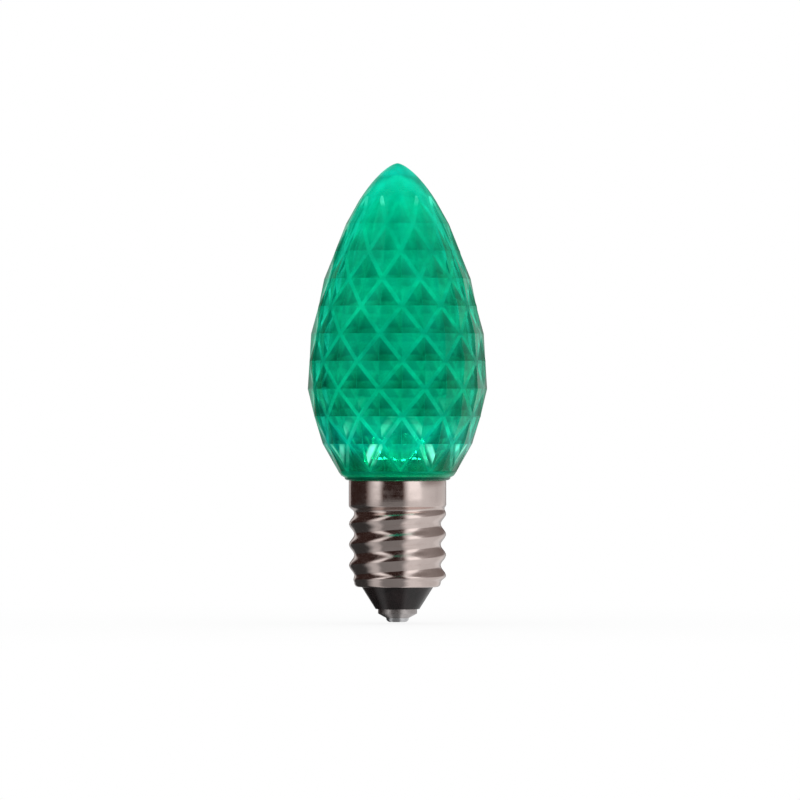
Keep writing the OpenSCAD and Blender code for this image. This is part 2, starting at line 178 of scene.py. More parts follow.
# Most of a noise's values lie between these
NOISE_WINDOW = (0.3, 0.7)
# In the tables below, a stop is a place and its colour, or one number for a grey.
# A range is (from, to, value at from, value at to).

# Lens by height, from 0 at its foot to 1 at its tip: its green with painted light and shade, its
# painted glow from inside, and where its painted glints lie
LENS_SHADED_TINT = [
    (0.0, (0.03, 0.22, 0.12)), (0.02, (0.08, 0.5, 0.33)), (0.045, (0.06, 0.45, 0.3)),
    (0.09, (0.08, 0.49, 0.36)), (0.15, (0.08, 0.59, 0.43)), (0.3, (0.08, 0.53, 0.36)),
    (0.42, (0.07, 0.47, 0.33)), (0.52, (0.08, 0.54, 0.37)), (0.8, (0.08, 0.55, 0.39)),
    (0.88, (0.05, 0.5, 0.34)), (1.0, (0.02, 0.38, 0.27)),
]
LENS_GLOW = [
    (0.0, (0.0, 0.03, 0.02)), (0.025, (0.0, 0.22, 0.12)), (0.08, (0.0, 0.09, 0.07)),
    (0.12, (0.0, 0.28, 0.23)), (0.22, (0.0, 0.20, 0.13)), (0.75, (0.0, 0.26, 0.17)),
    (0.86, (0.0, 0.42, 0.28)), (0.93, (0.0, 0.72, 0.5)), (0.952, (0.0, 0.72, 0.5)),
    (0.968, (0.0, 1.2, 0.86)), (1.0, (0.0, 1.1, 0.78)),
]
GLINT_PLACES = [
    (0.045, 0), (0.06, (0.2, 1.0, 0.7)), (0.105, (0.25, 1.0, 0.72)), (0.12, (0.03, 0.15, 0.1)),
    (0.13, (0.04, 0.2, 0.13)), (0.15, (0.2, 1.0, 0.65)), (0.17, (0.12, 0.8, 0.5)),
    (0.196, (0, 0.05, 0.03)), (0.212, (0.15, 0.9, 0.6)), (0.235, (0.1, 0.7, 0.45)), (0.265, 0),
    (0.862, 0), (0.875, (0.2, 1.0, 0.8)), (0.89, (0.2, 1.0, 0.8)),
]
# How far the facets' painted shades give way to the smooth parts' painted light, and the roughness
# under the tip
SMOOTH_SHARE = (0.6, 0.9, 0.0, 0.85)
TIP_HAZE = (0.86, 0.92, 0.0, 0.3)
# Painted light and shade in the tint, and painted glow, of a face by its share of light
FACET_SHADING = [(0.0, (1.0, 0.42, 0.37)), (0.5, (1.0, 1.25, 1.25)), (0.62, (1.0, 1.4, 1.4))]
FACET_GLOW = [(0.0, 0.2), (0.5, 1)]
# How far a facet takes the net side's painted light, and where its painted glint lies, from 0 at
# the net to 1 at its point
NET_SIDE_SHARE = (0.0, 0.7, 0.75, 0.0)
GLINT_ACROSS = [(0.0, 1), (0.01, 0), (0.12, 0.1), (0.26, 1), (0.48, 1), (0.62, 0)]
# Absorption in the lens's plastic: the colour that passes, and the density per metre
LENS_ABSORB_COLOUR = (0.0, 0.8, 0.75, 1)
LENS_ABSORB_DENSITY = 1000.0

# Looks of an LED's epoxy by height, from its foot to its tip, whose heights are in metres
LED_SPAN = (0.0177, 0.023, 0, 1)
LED_TINT = [(0.0, (0.3, 0.75, 0.5)), (1.0, (0.5, 0.95, 0.75))]
LED_GLOW = [
    (0.0, (0, 0.1, 0.07)), (0.4, (0.02, 0.6, 0.45)), (0.75, (0.02, 0.5, 0.4)),
    (1.0, (0, 0.2, 0.15)),
]

# Rolling marks in the nickel run round the shell
ROLLED_STRETCH = (1, 1, 16)
# Coats of the CAD nodes: two tones, least and most roughness, scale of the noise, metallic
COATS = {
    "tin_solder": ((0.55, 0.55, 0.56), (0.72, 0.72, 0.73), 0.18, 0.4, 900, 1.0),
    "tinned_wire": ((0.6, 0.6, 0.6), (0.74, 0.73, 0.72), 0.15, 0.35, 1200, 1.0),
    "black_insulator_plastic": ((0.006, 0.004, 0.004), (0.016, 0.010, 0.010), 0.12, 0.3, 500, 0.0),
    "contact_nickel": ((0.4, 0.37, 0.36), (0.55, 0.51, 0.5), 0.25, 0.45, 700, 1.0),
    "white_moulding": ((0.72, 0.72, 0.7), (0.8, 0.8, 0.78), 0.35, 0.5, 400, 0.0),
    "white_board": ((0.74, 0.76, 0.72), (0.8, 0.82, 0.78), 0.3, 0.45, 600, 0.0),
    "resin_cement": ((0.6, 0.52, 0.38), (0.72, 0.65, 0.5), 0.6, 0.8, 700, 0.0),
    "woven_sleeve": ((0.7, 0.67, 0.58), (0.82, 0.8, 0.7), 0.7, 0.9, 2500, 0.0),
    "tan_lacquer": ((0.45, 0.32, 0.18), (0.52, 0.38, 0.22), 0.3, 0.45, 800, 0.0),
    "black_epoxy": ((0.012, 0.012, 0.012), (0.025, 0.025, 0.025), 0.4, 0.6, 900, 0.0),
}
# A coat's gloss varies on a scale this much finer than its colour
GLOSS_FINENESS = 5
# The coat of each CAD node that stays, apart from the LEDs
NODE_COATS = {
    "insulator": "black_insulator_plastic", "centre_contact": "contact_nickel",
    "contact_solder": "tin_solder", "cap_cement": "resin_cement",
    "board_carrier": "white_moulding", "led_board": "white_board", "board_solder": "tin_solder",
    "resistor": "tan_lacquer", "resistor_leads": "tinned_wire", "live_sleeve": "woven_sleeve",
    "diode": "black_epoxy", "diode_leads": "tinned_wire", "shell_solder": "tin_solder",
}

# Brightness of the studio round the bulb, by degrees from the camera's side towards +X
STUDIO_PANELS = [
    (-180, 0.08), (-168, 0.08), (-160, 0.6), (-154, 0.6), (-144, 0.03), (-80, 0.03),
    (-56, 0.95), (-46, 0.95), (-34, 0.03), (13, 0.03), (29, 1.2), (54, 1.15),
]
# The rest of it at the bulb's height
STUDIO = STUDIO_PANELS + [
    (64, 0.76), (87, 0.68), (108, 0.63), (138, 0.7), (160, 0.6), (168, 0.08), (180, 0.08),
]
# The same, high above the bulb
HIGH_STUDIO = STUDIO_PANELS + [(60, 0.5), (80, 0.3), (160, 0.2), (168, 0.08), (180, 0.08)]
# Share of the high studio, by the height of the direction
HIGH_SHARE = (0.05, 0.25, 0, 1)
# The studio as the floor mirrors it
FLOOR_STUDIO = [
    (-180, 0.5), (-152, 0.4), (-144, 0.04), (-80, 0.04), (-58, 0.55), (-46, 0.55), (-36, 0.22),
    (13, 0.22), (28, 0.75), (54, 0.75), (62, 0.66), (114, 0.64), (121, 0.74), (140, 0.74),
    (150, 0.5), (180, 0.5),
]
# The studio by height, from straight down to straight up
STUDIO_HEIGHTS = [(-1.0, 0.35), (-0.6, 0.45), (-0.2, 0.9), (0.3, 1.0), (0.7, 1.1), (1.0, 0.6)]
# Background behind the clear lens by height
BACKDROP_HEIGHTS = [(-1.0, 0.35), (-0.10, 0.35), (0.0, 0.9), (0.10, 1.2), (1.0, 1.2)]
# The studio's ramps hold shares of this brightness
STUDIO_SCALE = 1.5
# Tint of the studio by its brightness
STUDIO_TINT = [(0.0, (1.0, 0.45, 0.35)), (0.25, (1.0, 0.9, 0.87)), (0.6, (1.0, 1.0, 1.0))]
# To the camera, the floor turns white between these distances from the bulb, in metres
FLOOR_FADE = (0.01, 0.1, FLOOR_WHITE, 1)


def eased(t):
    t = min(1.0, max(0.0, t))
    return t * t * (3 - 2 * t)


def bulb_r(z, belly_r, foot_r, top_z):
    """Radius of a lens-shaped curve at height z, from its foot through its belly to its top."""
    if z < BELLY_Z:
        return belly_r - (belly_r - foot_r) * ((BELLY_Z - z) / BELLY_Z) ** FOOT_POWER
    share = min(1.0, (z - BELLY_Z) / (top_z - BELLY_Z))
    return belly_r * (1 - share**UPPER_POWER) ** TIP_POWER


def lens_r(z):
    return bulb_r(z, BELLY_R, FOOT_R, LENS_H)


def cavity_r(z):
    return bulb_r(z, BELLY_R - FACET_RISE - LENS_WALL, FOOT_R - LENS_WALL, CAVITY_TOP_Z)


def polar(r, angle, z):
    """Point in metres, from millimetres and degrees."""
    a = math.radians(angle)
    return Vector((r * math.cos(a), r * math.sin(a), z)) * MM


def full_turn(count):
    """Angles of evenly spaced points on a circle."""
    return [math.tau * i / count for i in range(count)]


def mesh_object(name, bm, material):
    """Puts the mesh in the scene, as an object with the material."""
    mesh = bpy.data.meshes.new(name)
    bm.to_mesh(mesh)
    bm.free()
    mesh.materials.append(material)
    item = bpy.data.objects.new(name, mesh)
    bpy.context.scene.collection.objects.link(item)
    return item


def ride_along(name, bm, material):
    """Makes a piece of the mesh, which is part of the one rigid body."""
    piece = mesh_object(name, bm, material)
    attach(piece, "root")
    return piece


def new_object(name, bm, node, material):
    """Makes a smoothly shaded piece of the mesh, which stands for a CAD node."""
    for f in bm.faces:
        f.smooth = True
    piece = ride_along(name, bm, material)
    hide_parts(node)
    normals = piece.modifiers.new("weighted_normals", "WEIGHTED_NORMAL")
    normals.keep_sharp = True


class Lattice:
    """The diamond facets: rings half a diamond apart, and columns half a diamond apart."""

    def __init__(self, bm, base_z):
        self.bm = bm
        self.base_z = base_z
        self.verts = {}
        self.edges = []
        # Per face: painted light and shade, and painted glint; per vertex: 1 at a facet's point
        self.light = bm.faces.layers.float.new("facet_light")
        self.glint = bm.faces.layers.float.new("facet_glint")
        self.apex = bm.verts.layers.float.new("apex")

    def ring_z(self, k):
        return FOOT_BAND_H + RING_STEP * k

    def net_sink(self, k):
        """Depth of the net under the facets' points; the net ends level with the smooth tip."""
        rise = eased((FACET_BANDS - k) / TIP_FADE_BANDS)
        return rise * max(RIM_STEP, FACET_RISE * eased(2 * k))

    def vert(self, k, j, sink):
        key = (round(k, PLACE_DIGITS), round(j % COLUMNS, PLACE_DIGITS))
        if key not in self.verts:
            r = lens_r(self.ring_z(k)) - sink
            point = polar(r, LATTICE_TURN + COLUMN_TURN * j, self.base_z + self.ring_z(k))
            self.verts[key] = self.bm.verts.new(point)
        return self.verts[key]

    def net(self, k, j):
        return self.vert(k, j, self.net_sink(k))

    def point(self, k, j):
        return self.vert(k, j, RIM_STEP if k == 0 else 0)

    def inner_share(self, k):
        """Share of a diamond's half width that is left inside the net's lines."""
        half_w = lens_r(self.ring_z(k)) * math.sin(math.radians(COLUMN_TURN))
        to_side = half_w * RING_STEP / math.hypot(half_w, RING_STEP)
        return 1 - NET_LINE_W / 2 / to_side

    def to_led(self, j):
        """Degrees round the axis from a column to the nearest LED."""
        turn = (LATTICE_TURN + COLUMN_TURN * j - LED_TURN) % LED_SPREAD
        return min(turn, LED_SPREAD - turn)

    def diamond(self, k, j):
        """The four facets round the point at ring k and column j, with the net's webs."""
        share = self.inner_share(k)
        steps = [(1, 0), (0, 1), (-1, 0), (0, -1)]
        for (k0, j0), (k1, j1) in zip(steps, steps[1:] + steps[:1]):
            if not (0 <= k + k0 <= FACET_BANDS and 0 <= k + k1 <= FACET_BANDS):
                continue
            outer = [self.net(k + k0, j + j0), self.net(k + k1, j + j1)]
            inner = [
                self.net(k + share * k0, j + share * j0), self.net(k + share * k1, j + share * j1)
            ]
            tip = self.point(k, j)
            tip[self.apex] = 1
            web = self.bm.faces.new([outer[1], outer[0], inner[0], inner[1]])
            facet = self.bm.faces.new([inner[1], inner[0], tip])
            self.edges += [(inner[0], inner[1]), (inner[0], tip), (inner[1], tip)]

            low = min((k + k0, j + j0), (k + k1, j + j1))
            high = max((k + k0, j + j0), (k + k1, j + j1))
            low_band = high[0] <= LOW_BANDS
            above = k0 + k1 > 0
            # Painted light and shade of the web and the facet, and their painted glint
            web[self.light] = LOW_WEB_LIGHT if low_band else WEB_LIGHT
            facet[self.light] = LOWER_LIGHT
            if above:
                facet[self.light] = LOW_UPPER_LIGHT if low_band else UPPER_LIGHT

            away = self.to_led(low[1]) < self.to_led(high[1])
            glint = GLINTS.get(high[0], 0) if away else 0
            if self.to_led(low[1]) < LED_FRONT:
                glint *= LED_FRONT_GLINT
            under_tip = high[0] == FACET_BANDS and not away
            web[self.glint] = TIP_GLINT if under_tip else WEB_GLINT * glint
            facet[self.glint] = 0 if above else glint

    def rim(self, k):
        """Vertices of the first or last ring, with their angles, in the order of the columns."""
        share = self.inner_share(k)
        places = []
        for j in range(COLUMNS):
            if (j + k) % 2 == 0:
                places += [(j - share, self.net(k, j - share)), (j, self.point(k, j))]
                places += [(j + share, self.net(k, j + share))]
            else:
                places += [(j, self.net(k, j))]
        return [(LATTICE_TURN + COLUMN_TURN * j, v) for j, v in places]


def ring_angles(rim):
    """Angles of a smooth ring that has a few points along each edge of the rim."""
    starts = [a for a, _ in rim] + [rim[0][0] + 360]
    angles = []
    for a, b in zip(starts, starts[1:]):
        angles += [a + (b - a) * i / ARCS_PER_RIM_EDGE for i in range(ARCS_PER_RIM_EDGE)]
    return angles


def smooth_rings(bm, profile, angles, base_z):
    """Rings of vertices, one for each (radius, height) of the profile; the axis is one vertex."""
    rings = []
    for r, z in profile:
        if r < ON_AXIS_R:
            rings.append([bm.verts.new(polar(0, 0, base_z + z))])
        else:
            rings.append([bm.verts.new(polar(r, a, base_z + z)) for a in angles])
    return rings


def bridge(bm, low, high):
    """Faces between two rings; the normals point out where high is above low."""
    n = max(len(low), len(high))
    for i in range(n):
        m = (i + 1) % n
        if len(low) == 1:
            bm.faces.new([low[0], high[m], high[i]])
        elif len(high) == 1:
            bm.faces.new([low[i], low[m], high[0]])
        else:
            bm.faces.new([low[i], low[m], high[m], high[i]])


def bridge_all(bm, rings):
    for low, high in zip(rings, rings[1:]):
        bridge(bm, low, high)


def rim_ledge(bm, rim, ring):
    """Flat ledge between a rim and the smooth ring round it."""
    n = len(rim)
    for i in range(n):
        steps = range(ARCS_PER_RIM_EDGE + 1)
        arc = [ring[(ARCS_PER_RIM_EDGE * i + s) % len(ring)] for s in steps]
        bm.faces.new([rim[(i + 1) % n][1], rim[i][1]] + arc)


def crowded(low, high, steps):
    """Heights between two levels that crowd together towards the upper one."""
    return [high - (high - low) * (1 - i / steps) ** 2 for i in range(steps + 1)]


def make_lens(material):
    """The faceted lens, hollow, with rounded ridges and a neck that goes into the collar."""
    bm = bmesh.new()
    lattice = Lattice(bm, LENS_Z)
    for k in range(FACET_BANDS + 1):
        for j in range(COLUMNS):
            if (j + k) % 2 == 0:
                lattice.diamond(k, j)
    low_rim, high_rim = lattice.rim(0), lattice.rim(FACET_BANDS)
    low_angles = ring_angles(low_rim)

    cavity = [(NECK_BORE_R, -NECK_H), (NECK_BORE_R, CAVITY_FOOT_Z)]
    cavity += [(cavity_r(CAVITY_FOOT_Z), CAVITY_FOOT_Z)]
    low_h = BELLY_Z - CAVITY_FOOT_Z
    levels = [CAVITY_FOOT_Z + low_h * i / CAVITY_RINGS for i in range(1, CAVITY_RINGS)]
    levels += crowded(BELLY_Z, CAVITY_TOP_Z, CAVITY_RINGS)
    cavity += [(cavity_r(z), z) for z in levels]
    foot = [(NECK_R, -NECK_H), (NECK_R, 0)]
    for i in range(FOOT_ROUND_STEPS + 1):
        a = math.pi / 2 * i / FOOT_ROUND_STEPS
        foot += [(FOOT_R - FOOT_ROUND * (1 - math.sin(a)), FOOT_ROUND * (1 - math.cos(a)))]
    foot += [(lens_r(z), z) for z in (FOOT_BAND_H / 2, FOOT_BAND_H)]
    tip = [(lens_r(z), z) for z in crowded(LENS_H - TIP_SMOOTH_H, LENS_H, TIP_RINGS)]

    inner = smooth_rings(bm, cavity, low_angles, LENS_Z)
    outer = smooth_rings(bm, foot, low_angles, LENS_Z)
    top = [[v for _, v in high_rim]]
    top += smooth_rings(bm, tip[1:], [a for a, _ in high_rim], LENS_Z)
    for rings in (inner, outer, top):
        bridge_all(bm, rings)
    bridge(bm, inner[0], outer[0])
    rim_ledge(bm, low_rim, outer[-1])
    bmesh.ops.recalc_face_normals(bm, faces=bm.faces)

    ridges = list({e for a, b in lattice.edges for e in a.link_edges if e.other_vert(a) is b})
    tip_z = (LENS_Z + lattice.ring_z(FACET_BANDS) - FACET_RISE) * MM
    # Smooth faces get painted light of their own, brighter on the tip
    for f in bm.faces:
        if f[lattice.light] == 0:
            f[lattice.light] = TIP_LIGHT if f.calc_center_median().z > tip_z else SMOOTH_LIGHT
    rounded = bmesh.ops.bevel(
        bm, geom=ridges, offset=EDGE_ROUND * MM, offset_type="OFFSET", segments=2,
        profile=0.5, affect="EDGES", clamp_overlap=True,
    )
    # The rounded ridges get painted light and no painted glint
    for f in rounded["faces"]:
        f[lattice.light] = RIDGE_LIGHT
        f[lattice.glint] = 0
    new_object("faceted_lens", bm, "lens", material)


def shell_r(angle, z):
    """Outer radius of the shell between its lip and its collar."""
    wave = math.cos(math.radians(360 * (z - COLLAR_Z) / THREAD_PITCH - angle + THREAD_TURN))
    thread = THREAD_R - THREAD_DEPTH / 2 + THREAD_DEPTH / 2 * wave
    body = ROOT_R + eased((z - SHEET_LOW_Z) / THREAD_RUNOUT) * (thread - ROOT_R)
    return body + eased((z - COLLAR_Z + THREAD_RUNOUT) / THREAD_RUNOUT) * (COLLAR_R - body)


def make_shell(material):
    """The nickel shell as one closed sheet: lip, thread and collar outside, the same inside."""
    bm = bmesh.new()
    angles = [360 * i / SHELL_SIDES for i in range(SHELL_SIDES)]
    sheet_h = COLLAR_Z - SHEET_LOW_Z
    rows = [SHEET_LOW_Z + sheet_h * i / SHELL_ROWS for i in range(SHELL_ROWS + 1)]
    top = COLLAR_Z + COLLAR_H
    mid = COLLAR_EDGE_MID * COLLAR_EDGE

    def lip_arc(bend):
        """The lip's bend, up to just before the first row."""
        turns = [math.pi / 2 / LIP_BEND_STEPS * i for i in range(LIP_BEND_STEPS)]
        bend_r = ROOT_R - LIP_BEND
        return [(bend_r + bend * math.sin(a), SHEET_LOW_Z - bend * math.cos(a)) for a in turns]

    def flat_ring(r, z):
        return [bm.verts.new(polar(r, a, z)) for a in angles]

    def thread_ring(z, inset):
        return [bm.verts.new(polar(shell_r(a, z) - inset, a, z)) for a in angles]

    rings = [flat_ring(LIP_HOLE_R, SHELL_Z)]
    rings += [flat_ring(r, z) for r, z in lip_arc(LIP_BEND)]
    rings += [thread_ring(z, 0) for z in rows]
    rings += [flat_ring(COLLAR_R, COLLAR_Z + (COLLAR_H - COLLAR_EDGE) * t) for t in COLLAR_LEVELS]
    rings += [flat_ring(COLLAR_R - mid, top - mid)]
    rings += [flat_ring(COLLAR_R - COLLAR_EDGE, top), flat_ring(COLLAR_R - SHELL_WALL, top)]
    rings += [thread_ring(z, SHELL_WALL) for z in rows[::-1]]
    rings += [flat_ring(r, z) for r, z in lip_arc(LIP_BEND - SHELL_WALL)[::-1]]
    rings += [flat_ring(LIP_HOLE_R, SHELL_Z + SHELL_WALL)]
    bridge_all(bm, rings + rings[:1])
    bmesh.ops.recalc_face_normals(bm, faces=bm.faces)
    new_object("nickel_screw_shell", bm, "screw_shell", material)


class Nodes:
    """Small helper that builds a node tree."""

    def __init__(self, tree):
        self.tree = tree
        tree.nodes.clear()

    def add(self, kind, **values):
        node = self.tree.nodes.new(kind)
        for name, value in values.items():
            setattr(node, name, value)
        return node

    def link(self, source, target):
        self.tree.links.new(source, target)

    def feed(self, value, target):
        """Puts a plain number into the socket, or links another socket to it."""
        if isinstance(value, (int, float)):
            target.default_value = value
        else:
            self.link(value, target)

    def attribute(self, name):
        return self.add("ShaderNodeAttribute", attribute_name=name).outputs["Fac"]

    def split(self, vector):
        node = self.add("ShaderNodeSeparateXYZ")
        self.link(vector, node.inputs[0])
        return node.outputs

    def stretched(self, vector, factors):
        node = self.add("ShaderNodeVectorMath", operation="MULTIPLY")
        node.inputs[1].default_value = factors
        self.link(vector, node.inputs[0])
        return node.outputs[0]

    def calc(self, operation, a, b):
        node = self.add("ShaderNodeMath", operation=operation)
        self.feed(a, node.inputs[0])
        self.feed(b, node.inputs[1])
        return node.outputs[0]

    def mapped(self, source, low, high, to_low, to_high):
        node = self.add("ShaderNodeMapRange")
        values = {"From Min": low, "From Max": high, "To Min": to_low, "To Max": to_high}
        for name, value in values.items():
            node.inputs[name].default_value = value
        self.link(source, node.inputs["Value"])
        return node.outputs["Result"]

    def mixed(self, share, a, b):
        """The number a where the share is 0, and b where it is 1."""
        node = self.add("ShaderNodeMix", data_type="FLOAT")
        for value, target in ((share, node.inputs[0]), (a, node.inputs[2]), (b, node.inputs[3])):
            self.feed(value, target)
        return node.outputs[0]

    def mixed_shader(self, share, a, b):
        """The shader node a where the share is 0, and b where it is 1."""
        node = self.add("ShaderNodeMixShader")
        for source, target in zip((share, a.outputs[0], b.outputs[0]), node.inputs):
            self.link(source, target)
        return node

    def blended(self, blend, first, *others):
        """The colours multiplied or added."""
        for other in others:
            node = self.add("ShaderNodeMix", data_type="RGBA", blend_type=blend)
            node.inputs[0].default_value = 1.0
            self.link(first, node.inputs[MIX_A])
            self.link(other, node.inputs[MIX_B])
            first = node.outputs[MIX_RESULT]
        return first

    def ramp(self, source, stops, interpolation="LINEAR"):
        """Colour by the source's value; the stops are in the order of their places."""
        node = self.add("ShaderNodeValToRGB")
        node.color_ramp.interpolation = interpolation
        elements = node.color_ramp.elements
        elements.remove(elements[-1])
        elements[0].position = stops[0][0]
        for i, (at, colour) in enumerate(stops):
            stop = elements.new(at) if i else elements[0]
            stop.color = (*colour, 1) if isinstance(colour, tuple) else (colour,) * 3 + (1,)
        self.link(source, node.inputs[0])
        return node.outputs[0]

    def noise(self, vector, scale, detail=2, roughness=0.5):
        node = self.add("ShaderNodeTexNoise")
        values = {"Scale": scale, "Detail": detail, "Roughness": roughness}
        for name, value in values.items():
            node.inputs[name].default_value = value
        self.link(vector, node.inputs["Vector"])
        return node.outputs["Fac"]

    def varied(self, vector, to_low, to_high, window=NOISE_WINDOW, **noise):
        """Noise between two values; the window is the part of the noise's range that is used."""
        return self.mapped(self.noise(vector, **noise), *window, to_low, to_high)

    def two_tone(self, noise, low, high):
        """Colour that drifts between two tones."""
        return self.ramp(noise, list(zip(NOISE_WINDOW, (low, high))), "EASE")


def material(name, **plain):
    """A Principled material; returns it with its nodes, shader and object position."""
    mat = bpy.data.materials.new(name)
    mat.use_nodes = True
    nodes = Nodes(mat.node_tree)
    shader = nodes.add("ShaderNodeBsdfPrincipled")
    out = nodes.add("ShaderNodeOutputMaterial")
    nodes.link(shader.outputs[0], out.inputs["Surface"])
    for socket, value in plain.items():
        shader.inputs[socket.replace("_", " ")].default_value = value
    place = nodes.add("ShaderNodeTexCoord").outputs["Object"]
    return mat, nodes, shader, place


def bump(nodes, shader, source, strength, distance):
    node = nodes.add("ShaderNodeBump")
    node.inputs["Strength"].default_value = strength
    node.inputs["Distance"].default_value = distance
    nodes.link(source, node.inputs["Height"])
    nodes.link(node.outputs[0], shader.inputs["Normal"])


def lens_material():
    """Clear green plastic with a painted glow from inside, painted light and shade on each face,
    and painted glints.
    """
    mat, nodes, shader, place = material(
        "green_clear_plastic", Transmission_Weight=1.0, IOR=1.49, Emission_Strength=0.6,
        Specular_IOR_Level=0.3, Specular_Tint=(0.0, 0.6, 0.4, 1.0),
    )
    absorb = nodes.add("ShaderNodeVolumeAbsorption")
    absorb.inputs["Color"].default_value = LENS_ABSORB_COLOUR
    absorb.inputs["Density"].default_value = LENS_ABSORB_DENSITY
    nodes.link(absorb.outputs[0], mat.node_tree.get_output_node("ALL").inputs["Volume"])

    z = nodes.mapped(nodes.split(place)["Z"], LENS_Z * MM, (LENS_Z + LENS_H) * MM, 0, 1)
    apex = nodes.attribute("apex")
    light = nodes.attribute("facet_light")
    facet = nodes.calc("LESS_THAN", light, NET_SHADED_BELOW)
    net_side = nodes.calc("MULTIPLY", facet, nodes.mapped(apex, *NET_SIDE_SHARE))
    light = nodes.mixed(net_side, light, NET_SIDE_LIGHT)
    light = nodes.mixed(nodes.mapped(z, *SMOOTH_SHARE), light, SMOOTH_LIGHT)

    # Base colour: the plastic's green with painted light and shade by height and by face, and a
    # random mottle
    shaded_tint, facet_shading = nodes.ramp(z, LENS_SHADED_TINT), nodes.ramp(light, FACET_SHADING)
    mottle = nodes.varied(place, 0.8, 1.2, (0.35, 0.65), scale=280, detail=4, roughness=0.6)
    nodes.link(nodes.blended("MULTIPLY", shaded_tint, facet_shading, mottle), shader.inputs["Base Color"])

    # Painted glow from inside, by height and by face, with painted glints on chosen facets and webs
    glow, facet_glow = nodes.ramp(z, LENS_GLOW), nodes.ramp(light, FACET_GLOW)
    cloud = nodes.varied(place, 0.7, 1.3, scale=600, detail=3)
    lit = nodes.blended("MULTIPLY", glow, facet_glow, cloud)
    across = nodes.ramp(apex, GLINT_ACROSS)
    patchy = nodes.varied(place, 0.5, 1.2, (0.4, 0.6), scale=350)
    glint = nodes.calc("MULTIPLY", nodes.attribute("facet_glint"), across)
    glint = nodes.calc("MULTIPLY", glint, patchy)
    glint = nodes.blended("MULTIPLY", nodes.ramp(z, GLINT_PLACES), glint)
    nodes.link(nodes.blended("ADD", lit, glint), shader.inputs["Emission Color"])

    haze = nodes.varied(place, 0.04, 0.09, scale=900, detail=3)
    haze = nodes.calc("MAXIMUM", haze, nodes.mapped(z, *TIP_HAZE))
    nodes.link(haze, shader.inputs["Roughness"])
    bump(nodes, shader, nodes.noise(place, scale=420), strength=0.15, distance=0.00005)
    return mat


def nickel_material():
    """Bright nickel, clouded, with rolling marks round it."""
    mat, nodes, shader, place = material("bright_nickel", Metallic=1.0)
    cloud = nodes.noise(place, scale=260, detail=4)
    tones = nodes.two_tone(cloud, (0.70, 0.59, 0.55), (0.79, 0.67, 0.63))
    nodes.link(tones, shader.inputs["Base Color"])
    rolled = nodes.stretched(place, ROLLED_STRETCH)
    rolled = nodes.noise(rolled, scale=260, detail=4, roughness=0.6)
    spots = nodes.varied(place, 0.08, 0.2, scale=1400, detail=5)
    marks = nodes.mapped(rolled, *NOISE_WINDOW, 0.0, 0.06)
    nodes.link(nodes.calc("ADD", spots, marks), shader.inputs["Roughness"])
    bump(nodes, shader, rolled, strength=0.25, distance=0.00002)
    return mat


def coat_material(name, low, high, rough_low, rough_high, scale, metallic):
    """Moulded or coated surface: a colour that drifts between two tones and an uneven gloss."""
    mat, nodes, shader, place = material(name, Metallic=metallic)
    cloud = nodes.noise(place, scale=scale, detail=4)
    nodes.link(nodes.two_tone(cloud, low, high), shader.inputs["Base Color"])
    gloss = nodes.noise(place, scale=scale * GLOSS_FINENESS, detail=3)
    rough = nodes.mapped(gloss, *NOISE_WINDOW, rough_low, rough_high)
    nodes.link(rough, shader.inputs["Roughness"])
    bump(nodes, shader, gloss, strength=0.1, distance=0.00005)
    return mat


def led_material():
    """Clear green epoxy, lit from inside."""
    mat, nodes, shader, place = material(
        "lit_green_epoxy", Transmission_Weight=1.0, IOR=1.3, Emission_Strength=0.75
    )
    z = nodes.mapped(nodes.split(place)["Z"], *LED_SPAN)
    nodes.link(nodes.ramp(z, LED_TINT, "EASE"), shader.inputs["Base Color"])
    cloud = nodes.varied(place, 0.3, 1.0, (0.35, 0.65), scale=1500, detail=3)
    glow = nodes.blended("MULTIPLY", nodes.ramp(z, LED_GLOW, "EASE"), cloud)
    nodes.link(glow, shader.inputs["Emission Color"])
    nodes.link(nodes.varied(place, 0.05, 0.12, scale=800), shader.inputs["Roughness"])
    return mat


def die_material():
    """The LED's die, which is what shines."""
    mat, nodes, shader, place = material("lit_die", Roughness=0.5, Emission_Strength=10.0)
    cloud = nodes.noise(place, scale=3000)
    tones = nodes.two_tone(cloud, (0.5, 0.9, 0.6), (0.8, 1.0, 0.8))
    nodes.link(tones, shader.inputs["Base Color"])
    glow = nodes.two_tone(cloud, (0.15, 1.0, 0.6), (0.3, 1.0, 0.8))
    nodes.link(glow, shader.inputs["Emission Color"])
    return mat


def sheet(bm, place, outline, thickness):
    """Flat stamped sheet: an outline across and up, with its thickness along the LED's radius."""
    front = [bm.verts.new(place(-thickness / 2, t, z)) for t, z in outline]
    back = [bm.verts.new(place(thickness / 2, t, z)) for t, z in outline]
    bm.faces.new(front)
    bm.faces.new(back[::-1])
    for i in range(len(outline)):
        m = (i + 1) % len(outline)
        bm.faces.new([front[m], front[i], back[i], back[m]])


def turned(bm, place, profile):
    """Closed turned form round the LED's axis; the profile's ends are on the axis."""
    sides = full_turn(LED_SIDES)
    rings = []
    for r, z in profile:
        spots = sides if r > 0 else sides[:1]
        rings.append([bm.verts.new(place(r * math.cos(a), r * math.sin(a), z)) for a in spots])
    bridge_all(bm, rings)


def bond_wire(bm, place):
    """Thin arched wire from the die to the post."""
    section = [(BOND_R * math.cos(a), BOND_R * math.sin(a)) for a in full_turn(BOND_SIDES)]
    rings = []
    for i in range(BOND_STEPS + 1):
        t = i / BOND_STEPS
        across = BOND_TO[0] * t
        z = BOND_Z + BOND_RISE * math.sin(math.pi * t) + BOND_TO[1] * t
        rings.append([bm.verts.new(place(a, across + BOND_LEAN * b, z + b)) for a, b in section])
    bridge_all(bm, rings)
    bm.faces.new(rings[0][::-1])
    bm.faces.new(rings[-1])


